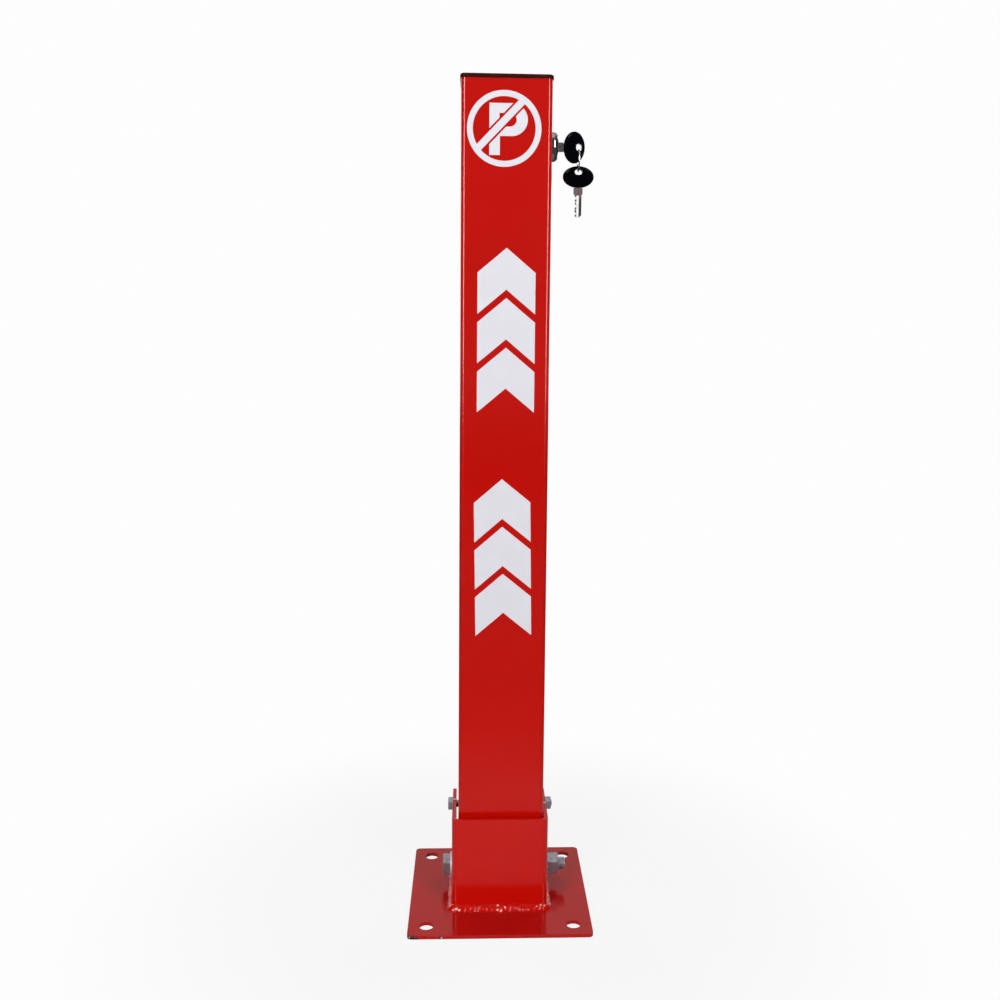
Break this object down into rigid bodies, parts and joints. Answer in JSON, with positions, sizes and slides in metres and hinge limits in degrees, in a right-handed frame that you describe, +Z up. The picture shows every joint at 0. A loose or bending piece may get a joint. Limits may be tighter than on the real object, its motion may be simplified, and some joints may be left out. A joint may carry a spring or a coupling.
{
  "type": "fold-down parking bollard",
  "caption": "Square red post that locks upright in a bolted-down bracket and folds flat when its key is turned.",
  "frame": {"origin": "centre of the base plate's underside, on the floor", "axes": "+Z up along the post; +Y backward, the way the post folds; +X towards the lock, right in the picture"},
  "size_m": [0.15, 0.15, 0.68],
  "materials": {
    "red_paint": "glossy powder coat",
    "zinc": "zinc plated",
    "nylon": "plain",
    "black_cap": "satin",
    "lock_chrome": "polished",
    "key_metal": "nickel plated",
    "ring_steel": "polished",
    "key_plastic": "gloss",
    "white_film": "reflective film"
  },
  "bodies": {
    "base": {"base_plate": "red_paint", "pivot_bracket": "red_paint", "weld_bead": "red_paint", "pivot_bolt": "zinc", "pivot_washers": "zinc", "pivot_nut": "zinc", "pivot_spacers": "nylon", "catch_bolt": "zinc", "catch_nut": "zinc"},
    "post": {"post_tube": "red_paint", "end_cap": "black_cap", "pivot_sleeve": "zinc", "tongue_guide": "zinc", "lower_guide": "zinc", "upper_guide": "zinc", "return_spring": "zinc", "lock_body": "lock_chrome", "lock_nut": "zinc", "upper_chevrons": "white_film", "lower_chevrons": "white_film", "sign_ring": "white_film"},
    "lock_plug": {"lock_plug": "lock_chrome", "lock_cam": "zinc", "cam_screw": "zinc", "key_blade": "key_metal", "key_bow": "key_plastic"},
    "key_ring": {"key_ring": "ring_steel"},
    "spare_key": {"spare_key_blade": "key_metal", "spare_key_bow": "key_plastic"},
    "lock_bar": {"lock_rod": "zinc", "lift_plate": "zinc", "adjuster_nuts": "zinc", "spring_collar": "zinc", "lock_tongue": "zinc", "roll_pin": "zinc"}
  },
  "joints": [
    {"name": "post_fold", "type": "hinge", "parent": "base", "child": "post", "pos_m": [0, 0.01, 0.0205], "axis": [-1, 0, 0], "range_deg": [0, 90.5]},
    {"name": "key_turn", "type": "hinge", "parent": "post", "child": "lock_plug", "pos_m": [0.0007, -0.002, 0.6295], "axis": [1, 0, 0], "range_deg": [0, 180]},
    {"name": "lock_lift", "type": "slide", "parent": "post", "child": "lock_bar", "axis": [0, 0, 1], "range_m": [-0.008, 0], "stiffness_N_per_m": 1460, "springref_m": -0.012, "deforming": ["return_spring"]},
    {"name": "ring_swing", "type": "hinge", "parent": "lock_plug", "child": "key_ring", "pos_m": [0.0589, -0.002, 0.6287], "axis": [0, 1, 0], "range_deg": [-160, 8]},
    {"name": "spare_key_swing", "type": "hinge", "parent": "key_ring", "child": "spare_key", "pos_m": [0.0589, -0.002, 0.61129], "axis": [0, 1, 0], "range_deg": [-24, 15]}
  ],
  "couplings": [
    {"joint": "key_turn", "follows": "lock_lift", "rad_per_m": -392.69}
  ]
}
